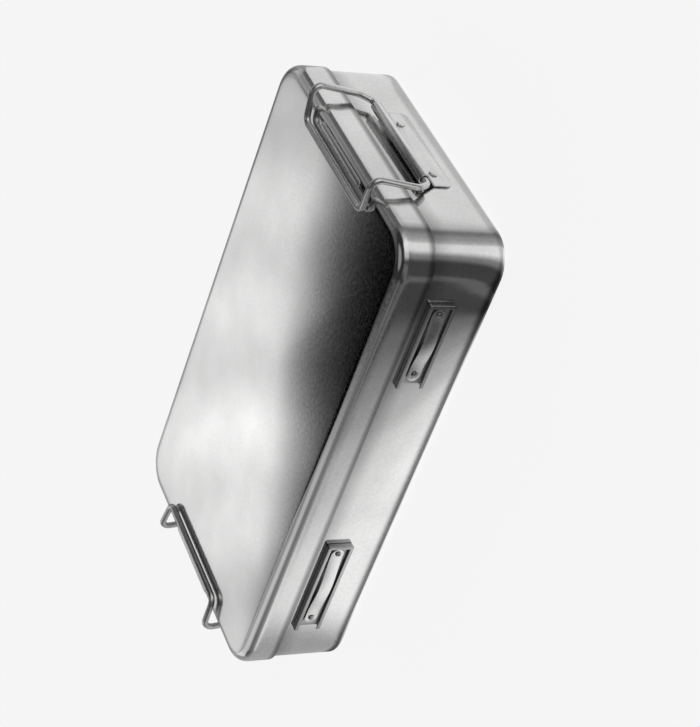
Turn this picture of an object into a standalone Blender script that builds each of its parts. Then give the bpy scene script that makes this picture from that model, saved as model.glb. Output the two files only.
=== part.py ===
"""Stainless steel instrument case: a perforated base pan, a lift-off lid and two wire bails.

Metres, +Z up. The origin is the centre of the underside. +X runs along the length to the
right-hand bail, and the two label holders are on the front, which faces -Y.
"""

import math

import bmesh
import bpy
from mathutils import Matrix, Vector

# Fits
SEAT_GAP = 0.0003
CUT_OVERRUN = 0.002
FLAT_TOLERANCE = 0.00001

# Base pan
PAN_SHEET = 0.001
BASE_LENGTH = 0.300
BASE_WIDTH = 0.170
BASE_CORNER_RADIUS = 0.019
BASE_FILLET = 0.0035

# Lid
LID_TOP_HEIGHT = 0.0612
LID_RIM_HEIGHT = 0.0418
LID_FILLET = 0.005
LID_CROWN = 0.0008
LID_SIDE_GAP = 0.0008

# Perforated fields, one in each half of the bottom
PERFORATION_DIAMETER = 0.0036
PERFORATION_PITCH = 0.015
FIELD_END_MARGIN = 0.036
FIELD_SIDE_MARGIN = 0.030
PLAIN_STRIP_WIDTH = 0.060

# Paper filter and the perforated plate that holds it down
PAPER_THICKNESS = 0.0004
HOLDER_SHEET = 0.0008
HOLDER_EDGE_GAP = 0.0005
TAB_WIDTH = 0.022
TAB_HEIGHT = 0.014
TAB_FOOT_LENGTH = 0.010
TAB_BEND_RADIUS = 0.0015
TAB_CORNER_RADIUS = 0.005
TAB_END_INSET = 0.010

# Wire bails
WIRE_DIAMETER = 0.0038
BAIL_WIDTH = 0.083
BAIL_BAR_WIDTH = 0.0785
BAIL_AXIS_OFFSET = 0.0046
BAIL_AXIS_HEIGHT = 0.0307
BAIL_BAR_INSET = 0.0134
BAIL_SHOULDER_OFFSET = 0.0098
BAIL_SHOULDER_RISE = 0.0012
BAIL_KNEE_OFFSET = 0.0056
BAIL_KNEE_RISE = 0.0068
BAIL_FOOT_REACH = 0.0042
BAIL_ENGAGEMENT = 0.008
BAIL_FOOT_BEND = 0.003
BAIL_KNEE_BEND = 0.008
BAIL_SHOULDER_BEND = 0.005
BAIL_BAR_BEND = 0.005

# Plates that carry the bails, each rolled into a barrel along its upper edge
PLATE_SHEET = 0.0008
PLATE_WIDTH = 0.065
PLATE_BOTTOM_HEIGHT = 0.012
PLATE_CORNER_RADIUS = 0.004
PLATE_FLARE_BEND = 0.002
PLATE_RIVET_INSET = 0.0105
PLATE_RIVET_HEIGHT = 0.0195
PLATE_RIVET_HEAD_DIAMETER = 0.0046
PLATE_RIVET_SHANK_DIAMETER = 0.003
PLATE_RIVET_HEAD_HEIGHT = 0.0011

# Low strips on the lid that the bails' bars snap behind
CATCH_LENGTH = 0.054
CATCH_WIDTH = 0.0044
CATCH_HEIGHT = 0.0008
CATCH_ROUND = 0.0005
CATCH_EDGE_INSET = 0.0066

# Label holders on the front
LABEL_SHEET = 0.0008
LABEL_DEPTH = 0.0028
LABEL_HEIGHT = 0.0156
LABEL_CENTRE_HEIGHT = 0.0299
LABEL_LIP = 0.0020
LABEL_CORNER_RADIUS = 0.0016
LABEL_EDGE_ROUND = 0.0004
LABEL_BACK_TRIM = 0.0022
RIGHT_LABEL_LENGTH = 0.0540
RIGHT_LABEL_INSET = 0.0317
LEFT_LABEL_LENGTH = 0.0654
LEFT_LABEL_INSET = 0.0356
LABEL_OPEN_RIVET_INSET = 0.009
LABEL_CLOSED_RIVET_INSET = 0.0062
LABEL_RIVET_HEAD_DIAMETER = 0.0032
LABEL_RIVET_SHANK_DIAMETER = 0.0018
LABEL_RIVET_HEAD_HEIGHT = 0.0008

# Bowed leaf springs in the label holders
SPRING_SHEET = 0.0005
SPRING_HEIGHT = 0.0074
SPRING_BOW = 0.0018
SPRING_OPEN_OVERHANG = 0.0045
SPRING_CLOSED_OVERHANG = 0.0030
SPRING_FLAT_REACH = 0.0026

# Inner heads of all rivets
RIVET_TAIL_HEIGHT = 0.0008

# Shares and angles
CROWN_RING_SHARES = (0.92, 0.76, 0.52, 0.26)
DOME_SHARES = (0.0, 0.45, 0.8, 1.0)
FLARE_ANGLE = math.radians(45)
WRAP_ANGLE = math.radians(288)
ARC_STEP = math.radians(16)
SPRING_TIP_ANGLES = tuple(math.radians(angle) for angle in (25, 48, 70, 90))
SHARP_ANGLE = math.radians(40)
HALF_TURN = math.pi
QUARTER_TURN = math.pi / 2

# Facet counts
CORNER_SEGMENTS = 8
FILLET_SEGMENTS = 4
SMALL_SEGMENTS = 3
PERFORATION_SIDES = 8
RIVET_SIDES = 12
SPRING_STEPS = 14

# Sizes that follow from those above
LID_LENGTH = BASE_LENGTH + 2 * (LID_SIDE_GAP + PAN_SHEET)
LID_WIDTH = BASE_WIDTH + 2 * (LID_SIDE_GAP + PAN_SHEET)
LID_CORNER_RADIUS = BASE_CORNER_RADIUS + LID_SIDE_GAP + PAN_SHEET
LID_INNER_FILLET = LID_FILLET - PAN_SHEET
FLOOR_INSET = BASE_FILLET + HOLDER_EDGE_GAP
FLOOR_CORNER_RADIUS = BASE_CORNER_RADIUS - FLOOR_INSET
PAPER_BOTTOM = PAN_SHEET + SEAT_GAP
HOLDER_BOTTOM = PAPER_BOTTOM + PAPER_THICKNESS + SEAT_GAP
HOLDER_LENGTH = BASE_LENGTH - 2 * FLOOR_INSET
HOLDER_WIDTH = BASE_WIDTH - 2 * FLOOR_INSET
BARREL_BORE_RADIUS = WIRE_DIAMETER / 2 + SEAT_GAP
PLATE_RIVET_SPACING = PLATE_WIDTH - 2 * PLATE_RIVET_INSET


def base_rim_height():
    """Height at which the base's rim meets the inside of the lid's rounded edge, less the seat gap."""
    reach = LID_INNER_FILLET - SEAT_GAP
    across = LID_INNER_FILLET - LID_SIDE_GAP
    rise = math.sqrt(reach ** 2 - across ** 2)
    return LID_TOP_HEIGHT - LID_FILLET + rise


def clear_scene():
    """Remove the objects of the scene that this script starts in."""
    for thing in list(bpy.data.objects):
        bpy.data.objects.remove(thing, do_unlink=True)


def new_collection(name):
    """A collection of the given name under the scene's own."""
    collection = bpy.data.collections.new(name)
    bpy.context.scene.collection.children.link(collection)
    return collection


def new_material(name, colour, roughness, metallic):
    """A Principled material with one colour."""
    material = bpy.data.materials.new(name)
    material.use_nodes = True
    shader = material.node_tree.nodes["Principled BSDF"]
    shader.inputs["Base Color"].default_value = (*colour, 1.0)
    shader.inputs["Roughness"].default_value = roughness
    shader.inputs["Metallic"].default_value = metallic
    return material


def place(piece, location=(0, 0, 0), rotation=(0, 0, 0), parent=None):
    """Set where an object stands, relative to its parent where it has one."""
    piece.location = location
    piece.rotation_euler = rotation
    piece.parent = parent
    return piece


def add_object(name, data, collection):
    """Link a mesh, a curve or, with no data, an empty to a collection."""
    piece = bpy.data.objects.new(name, data)
    collection.objects.link(piece)
    return piece


def smooth_mesh(name, form, material):
    """Store a bmesh as a smooth-shaded mesh whose sharp edges stay sharp."""
    mesh = bpy.data.meshes.new(name)
    form.to_mesh(mesh)
    form.free()
    mesh.shade_smooth()
    mesh.set_sharp_from_angle(angle=SHARP_ANGLE)
    mesh.materials.append(material)
    return mesh


def thicken(piece, thickness, offset):
    """Give an open surface its sheet thickness: offset -1 grows inwards, 0 to both sides."""
    sheet = piece.modifiers.new("sheet", "SOLIDIFY")
    sheet.thickness = thickness
    sheet.offset = offset
    sheet.use_even_offset = True
    return piece


def cut(piece, cutter):
    """Take a cutter's volume out of a piece."""
    hole = piece.modifiers.new(cutter.name, "BOOLEAN")
    hole.operation = "DIFFERENCE"
    hole.solver = "EXACT"
    hole.object = cutter


def hide_cutter(cutter):
    """Show a cutter as wires only."""
    cutter.hide_render = True
    cutter.display_type = "WIRE"
    return cutter


def box_form(low, high):
    """A bmesh box between two corners."""
    form = bmesh.new()
    bmesh.ops.create_cube(form, size=1)
    bmesh.ops.scale(form, verts=form.verts, vec=Vector(high) - Vector(low))
    bmesh.ops.translate(form, verts=form.verts, vec=(Vector(high) + Vector(low)) / 2)
    return form


def box_cutter(name, low, high, cutters, parent=None):
    """A box-shaped cutter between two corners."""
    mesh = bpy.data.meshes.new(name)
    form = box_form(low, high)
    form.to_mesh(mesh)
    form.free()
    return place(hide_cutter(add_object(name, mesh, cutters)), parent=parent)


def drill_cutter(name, holes, cutters, parent=None):
    """One cutter with a round prism for each hole, given as centre, axis, diameter, depth and sides."""
    form = bmesh.new()
    for centre, axis, diameter, depth, sides in holes:
        turn = Vector((0, 0, 1)).rotation_difference(Vector(axis)).to_matrix().to_4x4()
        bmesh.ops.create_cone(
            form,
            cap_ends=True,
            segments=sides,
            radius1=diameter / 2,
            radius2=diameter / 2,
            depth=depth,
            matrix=Matrix.Translation(centre) @ turn,
        )
    mesh = bpy.data.meshes.new(name)
    form.to_mesh(mesh)
    form.free()
    return place(hide_cutter(add_object(name, mesh, cutters)), parent=parent)


def upright_edges(form):
    """Edges that run along Z."""
    return [e for e in form.edges if abs((e.verts[0].co - e.verts[1].co).xy.length) < FLAT_TOLERANCE]


def edges_at_height(form, height):
    """Edges that lie in the level plane at a height."""
    return [e for e in form.edges if all(abs(v.co.z - height) < FLAT_TOLERANCE for v in e.verts)]


def round_edges(form, edges, radius, segments):
    """Round some edges of a bmesh."""
    bmesh.ops.bevel(form, geom=edges, offset=radius, segments=segments, profile=0.5, affect="EDGES")


def rounded_path(corners, radii):
    """Points along straight runs whose inner corners are arcs of the given radii."""
    corners = [Vector(corner) for corner in corners]
    points = [corners[0]]
    for before, corner, after, radius in zip(corners, corners[1:], corners[2:], radii):
        back = (before - corner).normalized()
        ahead = (after - corner).normalized()
        opening = back.angle(ahead)
        centre = corner + (back + ahead).normalized() * (radius / math.sin(opening / 2))
        start = corner + back * (radius / math.tan(opening / 2)) - centre
        turn = HALF_TURN - opening
        steps = math.ceil(turn / ARC_STEP)
        for step in range(steps + 1):
            points.append(centre + Matrix.Rotation(turn * step / steps, 3, ahead.cross(back)) @ start)
    points.append(corners[-1])
    return points


def sheet_form(profile, width):
    """An open sheet: a profile in XZ drawn out along Y to both sides of the middle."""
    form = bmesh.new()
    verts = [form.verts.new((point.x, -width / 2, point.z)) for point in profile]
    edges = [form.edges.new(pair) for pair in zip(verts, verts[1:])]
    drawn = bmesh.ops.extrude_edge_only(form, edges=edges)["geom"]
    new_verts = [item for item in drawn if isinstance(item, bmesh.types.BMVert)]
    bmesh.ops.translate(form, verts=new_verts, vec=(0, width, 0))
    return form


def round_sheet_corners(form, x, z, radius):
    """Round the outline's corners at one end of an open sheet."""
    ends = [v for v in form.verts if abs(v.co.x - x) < FLAT_TOLERANCE and abs(v.co.z - z) < FLAT_TOLERANCE]
    bmesh.ops.bevel(form, geom=ends, offset=radius, segments=SMALL_SEGMENTS, profile=0.5, affect="VERTICES")


def pan_form(length, width, height, corner_radius, fillet, crown):
    """The outer skin of a drawn pan with its panel at z = 0 and its open rim at z = height."""
    form = box_form((-length / 2, -width / 2, 0), (length / 2, width / 2, height))
    round_edges(form, upright_edges(form), corner_radius, CORNER_SEGMENTS)
    round_edges(form, edges_at_height(form, 0), fillet, FILLET_SEGMENTS)
    mouth = max(form.faces, key=lambda face: face.calc_center_median().z)
    bmesh.ops.delete(form, geom=[mouth], context="FACES_ONLY")
    if crown:
        crown_panel(form, crown)
    return form


def crown_panel(form, crown):
    """Raise the flat panel at z = 0 outwards in rings, level at its edge and at its middle."""
    form.faces.ensure_lookup_table()
    panel = min(form.faces, key=lambda face: face.calc_center_median().z)
    last_share = 1.0
    for share in CROWN_RING_SHARES:
        bmesh.ops.inset_individual(form, faces=[panel], thickness=0)
        for vert in panel.verts:
            vert.co.x *= share / last_share
            vert.co.y *= share / last_share
            vert.co.z = -crown * (1 - share ** 2) ** 2
        last_share = share


def plate_form(length, width, thickness, corner_radius, corner_segments):
    """A flat plate with rounded corners, its underside at z = 0."""
    form = box_form((-length / 2, -width / 2, 0), (length / 2, width / 2, thickness))
    round_edges(form, upright_edges(form), corner_radius, corner_segments)
    return form


def perforation_places():
    """Centres of the perforations, the same in the base's bottom and in the holder plate."""
    field_length = BASE_LENGTH / 2 - FIELD_END_MARGIN - PLAIN_STRIP_WIDTH / 2
    field_width = BASE_WIDTH - 2 * FIELD_SIDE_MARGIN
    field_middle = (PLAIN_STRIP_WIDTH + field_length) / 2
    columns = int(field_length / PERFORATION_PITCH) + 1
    rows = int(field_width / PERFORATION_PITCH) + 1
    places = []
    for side in (-1, 1):
        for column in range(columns):
            for row in range(rows):
                x = side * field_middle + (column - (columns - 1) / 2) * PERFORATION_PITCH
                y = (row - (rows - 1) / 2) * PERFORATION_PITCH
                places.append((x, y))
    return places


def perforations(bottom, thickness):
    """Holes for drill_cutter through a level sheet whose underside is at the given height."""
    depth = thickness + 2 * CUT_OVERRUN
    middle = bottom + thickness / 2
    return [
        ((x, y, middle), (0, 0, 1), PERFORATION_DIAMETER, depth, PERFORATION_SIDES)
        for x, y in perforation_places()
    ]


def rivet_mesh(name, head_diameter, shank_diameter, head_height, stack, material):
    """A rivet along Z: its domed head stands on z = 0 and its shank passes the stack below."""
    head = head_diameter / 2
    shank = shank_diameter / 2
    dome = [(head * math.sin(share * QUARTER_TURN), head_height * math.cos(share * QUARTER_TURN))
            for share in DOME_SHARES]
    body = [(shank, 0), (shank, -stack), (head, -stack), (head, -stack - RIVET_TAIL_HEIGHT),
            (0, -stack - RIVET_TAIL_HEIGHT)]
    form = bmesh.new()
    verts = [form.verts.new((x, 0, z)) for x, z in dome + body]
    for pair in zip(verts, verts[1:]):
        form.edges.new(pair)
    return smooth_mesh(name, form, material)


def turn_profile(piece):
    """Turn a profile in XZ about Z into a closed round solid."""
    screw = piece.modifiers.new("turned", "SCREW")
    screw.steps = RIVET_SIDES
    screw.render_steps = RIVET_SIDES
    screw.use_merge_vertices = True
    screw.merge_threshold = FLAT_TOLERANCE
    return piece


def label_holders():
    """Name, length and place of the middle along X of each label holder."""
    right_middle = BASE_LENGTH / 2 - RIGHT_LABEL_INSET - RIGHT_LABEL_LENGTH / 2
    left_middle = -BASE_LENGTH / 2 + LEFT_LABEL_INSET + LEFT_LABEL_LENGTH / 2
    return (("right", RIGHT_LABEL_LENGTH, right_middle), ("left", LEFT_LABEL_LENGTH, left_middle))


def label_rivet_places(length):
    """Places along X, from a label holder's middle, of the rivet at its open and at its closed end."""
    return (-length / 2 + LABEL_OPEN_RIVET_INSET, length / 2 - LABEL_CLOSED_RIVET_INSET)


def build_base(parts, cutters, steel):
    """The deep drawn base pan, with its perforated bottom and the holes for its rivets."""
    height = base_rim_height()
    form = pan_form(BASE_LENGTH, BASE_WIDTH, height, BASE_CORNER_RADIUS, BASE_FILLET, 0)
    base = add_object("base_shell", smooth_mesh("base_shell", form, steel), parts)
    thicken(base, PAN_SHEET, -1)
    cut(base, drill_cutter("bottom_perforations", perforations(0, PAN_SHEET), cutters))
    depth = PAN_SHEET + 2 * CUT_OVERRUN
    wall = PAN_SHEET / 2
    end_hole = PLATE_RIVET_SHANK_DIAMETER + 2 * SEAT_GAP
    front_hole = LABEL_RIVET_SHANK_DIAMETER + 2 * SEAT_GAP
    holes = []
    for end in (-1, 1):
        for side in (-1, 1):
            centre = (end * (BASE_LENGTH / 2 - wall), side * PLATE_RIVET_SPACING / 2, PLATE_RIVET_HEIGHT)
            holes.append((centre, (1, 0, 0), end_hole, depth, RIVET_SIDES))
    for _, length, middle in label_holders():
        for x in label_rivet_places(length):
            centre = (middle + x, -BASE_WIDTH / 2 + wall, LABEL_CENTRE_HEIGHT)
            holes.append((centre, (0, 1, 0), front_hole, depth, RIVET_SIDES))
    cut(base, drill_cutter("wall_rivet_holes", holes, cutters))


def build_lid(parts, steel):
    """The lift-off lid with its skirt, and a catch strip at each end of its top."""
    height = LID_TOP_HEIGHT - LID_RIM_HEIGHT
    form = pan_form(LID_LENGTH, LID_WIDTH, height, LID_CORNER_RADIUS, LID_FILLET, LID_CROWN)
    bmesh.ops.rotate(form, verts=form.verts, matrix=Matrix.Rotation(HALF_TURN, 3, "X"))
    bmesh.ops.translate(form, verts=form.verts, vec=(0, 0, height))
    lid = add_object("lid_shell", smooth_mesh("lid_shell", form, steel), parts)
    thicken(lid, PAN_SHEET, -1)
    place(lid, location=(0, 0, LID_RIM_HEIGHT))
    end_radius = CATCH_WIDTH / 2 - CATCH_ROUND
    form = plate_form(CATCH_WIDTH, CATCH_LENGTH, CATCH_HEIGHT, end_radius, FILLET_SEGMENTS)
    round_edges(form, edges_at_height(form, CATCH_HEIGHT), CATCH_ROUND, SMALL_SEGMENTS)
    mesh = smooth_mesh("catch_strip", form, steel)
    for name, end in (("catch_strip_right", 1), ("catch_strip_left", -1)):
        x = end * (LID_LENGTH / 2 - CATCH_EDGE_INSET)
        place(add_object(name, mesh, parts), location=(x, 0, height + SEAT_GAP), parent=lid)


def build_filter(parts, cutters, steel, paper):
    """The paper filter on the bottom and the perforated plate that holds it down."""
    outline = (HOLDER_LENGTH, HOLDER_WIDTH)
    form = plate_form(*outline, PAPER_THICKNESS, FLOOR_CORNER_RADIUS, CORNER_SEGMENTS)
    sheet = add_object("filter_paper", smooth_mesh("filter_paper", form, paper), parts)
    place(sheet, location=(0, 0, PAPER_BOTTOM))
    form = plate_form(*outline, HOLDER_SHEET, FLOOR_CORNER_RADIUS, CORNER_SEGMENTS)
    holder = add_object("filter_plate", smooth_mesh("filter_plate", form, steel), parts)
    place(holder, location=(0, 0, HOLDER_BOTTOM))
    cut(holder, drill_cutter("plate_perforations", perforations(0, HOLDER_SHEET), cutters, holder))
    corners = [(-TAB_FOOT_LENGTH, 0, 0), (0, 0, 0), (0, 0, TAB_HEIGHT)]
    form = sheet_form(rounded_path(corners, [TAB_BEND_RADIUS]), TAB_WIDTH)
    round_sheet_corners(form, 0, TAB_HEIGHT, TAB_CORNER_RADIUS)
    mesh = smooth_mesh("filter_tab", form, steel)
    for name, end in (("filter_tab_right", 1), ("filter_tab_left", -1)):
        tab = thicken(add_object(name, mesh, parts), HOLDER_SHEET, 0)
        x = end * (HOLDER_LENGTH / 2 - TAB_END_INSET)
        z = HOLDER_SHEET + SEAT_GAP + HOLDER_SHEET / 2
        place(tab, location=(x, 0, z), rotation=(0, 0, QUARTER_TURN * (1 - end)), parent=holder)


def bail_points():
    """Centre line of the bail's wire from one hinge end to the other, from its hinge axis."""
    out = BASE_LENGTH / 2 + BAIL_AXIS_OFFSET
    bar_x = LID_LENGTH / 2 - BAIL_BAR_INSET - out
    bar_z = LID_TOP_HEIGHT + SEAT_GAP + WIRE_DIAMETER / 2 + SEAT_GAP - BAIL_AXIS_HEIGHT
    shoulder_x = BAIL_SHOULDER_OFFSET - BAIL_AXIS_OFFSET
    knee_x = BAIL_KNEE_OFFSET - BAIL_AXIS_OFFSET
    half = BAIL_WIDTH / 2
    foot = PLATE_WIDTH / 2
    side = [
        (0, foot - BAIL_ENGAGEMENT, 0),
        (0, foot + BAIL_FOOT_REACH, 0),
        (knee_x, half, BAIL_KNEE_RISE),
        (shoulder_x, half, bar_z + BAIL_SHOULDER_RISE),
        (bar_x, BAIL_BAR_WIDTH / 2, bar_z),
    ]
    other_side = [(x, -y, z) for x, y, z in reversed(side)]
    bends = [BAIL_FOOT_BEND, BAIL_KNEE_BEND, BAIL_SHOULDER_BEND, BAIL_BAR_BEND]
    return rounded_path(side + other_side, bends + bends[::-1])


def bail_curve(steel):
    """The bail as a round wire."""
    points = bail_points()
    curve = bpy.data.curves.new("bail", "CURVE")
    curve.dimensions = "3D"
    curve.bevel_depth = WIRE_DIAMETER / 2
    curve.bevel_resolution = 2
    curve.use_fill_caps = True
    spline = curve.splines.new("POLY")
    spline.points.add(len(points) - 1)
    for spot, point in zip(spline.points, points):
        spot.co = (*point, 1)
    curve.materials.append(steel)
    return curve


def plate_profile():
    """Middle line of a bail plate in XZ: up the wall, out along the flare and round the barrel."""
    middle_radius = BARREL_BORE_RADIUS + PLATE_SHEET / 2
    axis = Vector((BASE_LENGTH / 2 + BAIL_AXIS_OFFSET, 0, BAIL_AXIS_HEIGHT))
    wall_x = BASE_LENGTH / 2 + SEAT_GAP + PLATE_SHEET / 2
    spoke = Vector((math.cos(FLARE_ANGLE), 0, -math.sin(FLARE_ANGLE))) * middle_radius
    touch = axis + spoke
    flare_z = touch.z - (touch.x - wall_x) / math.tan(FLARE_ANGLE)
    corners = [(wall_x, 0, PLATE_BOTTOM_HEIGHT), (wall_x, 0, flare_z), touch]
    path = rounded_path(corners, [PLATE_FLARE_BEND])
    steps = math.ceil(WRAP_ANGLE / ARC_STEP)
    for step in range(1, steps + 1):
        path.append(axis + Matrix.Rotation(-WRAP_ANGLE * step / steps, 3, "Y") @ spoke)
    return path


def build_end(side, turn, shared, parts, cutters):
    """One end's bail plate, its two rivets and the bail, about an empty that turns the left end round."""
    end = place(add_object(side + "_end", None, parts), rotation=(0, 0, turn))
    plate = place(add_object("bail_plate_" + side, shared["plate"], parts), parent=end)
    thicken(plate, PLATE_SHEET, 0)
    plate_x = BASE_LENGTH / 2 + SEAT_GAP
    depth = PLATE_SHEET + 2 * CUT_OVERRUN
    hole = PLATE_RIVET_SHANK_DIAMETER + 2 * SEAT_GAP
    places = [("front", -PLATE_RIVET_SPACING / 2), ("back", PLATE_RIVET_SPACING / 2)]
    if turn:
        places = [("front", PLATE_RIVET_SPACING / 2), ("back", -PLATE_RIVET_SPACING / 2)]
    holes = []
    for name, y in places:
        centre = (plate_x + PLATE_SHEET / 2, y, PLATE_RIVET_HEIGHT)
        holes.append((centre, (1, 0, 0), hole, depth, RIVET_SIDES))
        rivet = turn_profile(add_object("bail_rivet_" + side + "_" + name, shared["rivet"], parts))
        seat = (plate_x + PLATE_SHEET + SEAT_GAP, y, PLATE_RIVET_HEIGHT)
        place(rivet, location=seat, rotation=(0, QUARTER_TURN, 0), parent=end)
    cut(plate, drill_cutter("plate_rivet_holes_" + side, holes, cutters, end))
    axis = place(
        add_object("bail_axis_" + side, None, parts),
        location=(BASE_LENGTH / 2 + BAIL_AXIS_OFFSET, 0, BAIL_AXIS_HEIGHT),
        parent=end,
    )
    place(add_object("bail_" + side, shared["bail"], parts), parent=axis)


def build_ends(parts, cutters, steel, wire_steel):
    """Both ends' bail hardware."""
    form = sheet_form(plate_profile(), PLATE_WIDTH)
    wall_x = BASE_LENGTH / 2 + SEAT_GAP + PLATE_SHEET / 2
    round_sheet_corners(form, wall_x, PLATE_BOTTOM_HEIGHT, PLATE_CORNER_RADIUS)
    stack = PLATE_SHEET + PAN_SHEET + 3 * SEAT_GAP
    shared = {
        "plate": smooth_mesh("bail_plate", form, steel),
        "bail": bail_curve(wire_steel),
        "rivet": rivet_mesh("bail_rivet", PLATE_RIVET_HEAD_DIAMETER, PLATE_RIVET_SHANK_DIAMETER,
                            PLATE_RIVET_HEAD_HEIGHT, stack, steel),
    }
    build_end("right", 0, shared, parts, cutters)
    build_end("left", HALF_TURN, shared, parts, cutters)


def label_frame_form(length):
    """The outer block of a label holder, from the wall's seat gap outwards."""
    low = (-length / 2, -SEAT_GAP - LABEL_DEPTH, -LABEL_HEIGHT / 2)
    high = (length / 2, -SEAT_GAP, LABEL_HEIGHT / 2)
    form = box_form(low, high)
    closed_end = [
        e for e in form.edges
        if all(abs(v.co.x - length / 2) < FLAT_TOLERANCE for v in e.verts)
        and abs(e.verts[0].co.y - e.verts[1].co.y) > FLAT_TOLERANCE
    ]
    round_edges(form, closed_end, LABEL_CORNER_RADIUS, SMALL_SEGMENTS)
    front = [e for e in form.edges if all(abs(v.co.y - low[1]) < FLAT_TOLERANCE for v in e.verts)]
    round_edges(form, front, LABEL_EDGE_ROUND, SMALL_SEGMENTS)
    return form


def build_label_frame(side, length, carrier, parts, cutters, steel):
    """A label holder's frame: a back plate with three walls folded over into lips, open on its left."""
    form = label_frame_form(length)
    frame = add_object("label_frame_" + side, smooth_mesh("label_frame_" + side, form, steel), parts)
    place(frame, parent=carrier)
    open_x = -length / 2 - CUT_OVERRUN
    back = -SEAT_GAP
    front = back - LABEL_DEPTH
    half = LABEL_HEIGHT / 2
    shapes = {
        "cavity": (
            (open_x, front + LABEL_SHEET, -half + LABEL_SHEET),
            (length / 2 - LABEL_SHEET, back - LABEL_SHEET, half - LABEL_SHEET),
        ),
        "window": (
            (open_x, front - CUT_OVERRUN, -half + LABEL_LIP),
            (length / 2 - LABEL_LIP, front + LABEL_DEPTH / 2, half - LABEL_LIP),
        ),
        "back_trim": (
            (open_x, back - LABEL_DEPTH / 2, -half + LABEL_SHEET),
            (-length / 2 + LABEL_BACK_TRIM, back + CUT_OVERRUN, half - LABEL_SHEET),
        ),
    }
    for name, (low, high) in shapes.items():
        cut(frame, box_cutter("label_" + name + "_" + side, low, high, cutters, carrier))
    hole = LABEL_RIVET_SHANK_DIAMETER + 2 * SEAT_GAP
    depth = LABEL_SHEET + 2 * SEAT_GAP
    holes = [
        ((x, back - LABEL_SHEET / 2, 0), (0, 1, 0), hole, depth, RIVET_SIDES)
        for x in label_rivet_places(length)
    ]
    cut(frame, drill_cutter("label_rivet_holes_" + side, holes, cutters, carrier))


def spring_outline(length):
    """Places along X, half heights and outward bow of a leaf spring, from its open to its closed end."""
    open_rivet, closed_rivet = label_rivet_places(length)
    tip = SPRING_HEIGHT / 2
    first = open_rivet - SPRING_OPEN_OVERHANG
    last = closed_rivet + SPRING_CLOSED_OVERHANG
    low = open_rivet + SPRING_FLAT_REACH
    high = closed_rivet - SPRING_FLAT_REACH
    points = [(first + tip * (1 - math.cos(a)), tip * math.sin(a), 0) for a in SPRING_TIP_ANGLES]
    for step in range(SPRING_STEPS + 1):
        share = step / SPRING_STEPS
        bow = SPRING_BOW * (1 - math.cos(2 * math.pi * share)) / 2
        points.append((low + (high - low) * share, tip, bow))
    points += [(last - tip * (1 - math.cos(a)), tip * math.sin(a), 0) for a in reversed(SPRING_TIP_ANGLES)]
    return points


def build_spring(side, length, carrier, parts, cutters, steel):
    """A label holder's bowed leaf spring, riveted at both ends."""
    middle_y = -2 * SEAT_GAP - LABEL_SHEET - SPRING_SHEET / 2
    outline = spring_outline(length)
    form = bmesh.new()
    lower = [form.verts.new((x, middle_y - bow, -half)) for x, half, bow in outline]
    upper = [form.verts.new((x, middle_y - bow, half)) for x, half, bow in outline]
    bottom_edges = [form.edges.new(pair) for pair in zip(lower, lower[1:])]
    top_edges = [form.edges.new(pair) for pair in zip(upper, upper[1:])]
    bmesh.ops.bridge_loops(form, edges=bottom_edges + top_edges)
    spring = add_object("label_spring_" + side, smooth_mesh("label_spring_" + side, form, steel), parts)
    thicken(place(spring, parent=carrier), SPRING_SHEET, 0)
    hole = LABEL_RIVET_SHANK_DIAMETER + 2 * SEAT_GAP
    depth = SPRING_SHEET + 2 * SEAT_GAP
    holes = [
        ((x, middle_y, 0), (0, 1, 0), hole, depth, RIVET_SIDES) for x in label_rivet_places(length)
    ]
    cut(spring, drill_cutter("spring_rivet_holes_" + side, holes, cutters, carrier))


def build_labels(parts, cutters, steel):
    """Both label holders on the front wall, each about an empty at its middle."""
    stack = SPRING_SHEET + LABEL_SHEET + PAN_SHEET + 4 * SEAT_GAP
    rivet = rivet_mesh("label_rivet", LABEL_RIVET_HEAD_DIAMETER, LABEL_RIVET_SHANK_DIAMETER,
                       LABEL_RIVET_HEAD_HEIGHT, stack, steel)
    for side, length, middle in label_holders():
        carrier = place(
            add_object(side + "_label", None, parts),
            location=(middle, -BASE_WIDTH / 2, LABEL_CENTRE_HEIGHT),
        )
        build_label_frame(side, length, carrier, parts, cutters, steel)
        build_spring(side, length, carrier, parts, cutters, steel)
        seat_y = -3 * SEAT_GAP - LABEL_SHEET - SPRING_SHEET
        for end, x in zip(("open", "closed"), label_rivet_places(length)):
            piece = turn_profile(add_object("label_rivet_" + side + "_" + end, rivet, parts))
            place(piece, location=(x, seat_y, 0), rotation=(QUARTER_TURN, 0, 0), parent=carrier)


def main():
    """Build the whole case."""
    clear_scene()
    parts = new_collection("instrument_case")
    cutters = new_collection("cutters")
    steel = new_material("satin_steel", (0.62, 0.62, 0.61), 0.32, 1.0)
    wire_steel = new_material("wire_steel", (0.55, 0.55, 0.55), 0.25, 1.0)
    paper = new_material("filter_paper", (0.86, 0.85, 0.80), 0.9, 0.0)
    build_base(parts, cutters, steel)
    build_lid(parts, steel)
    build_filter(parts, cutters, steel, paper)
    build_ends(parts, cutters, steel, wire_steel)
    build_labels(parts, cutters, steel)


main()
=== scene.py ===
"""Looks of a stainless steel instrument case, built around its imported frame.

Metres, +Z up, in the frame's own axes: +X towards the right-hand bail, -Y towards the label holders.
"""

import math

import bmesh
import bpy
from mathutils import Matrix, Vector


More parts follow.
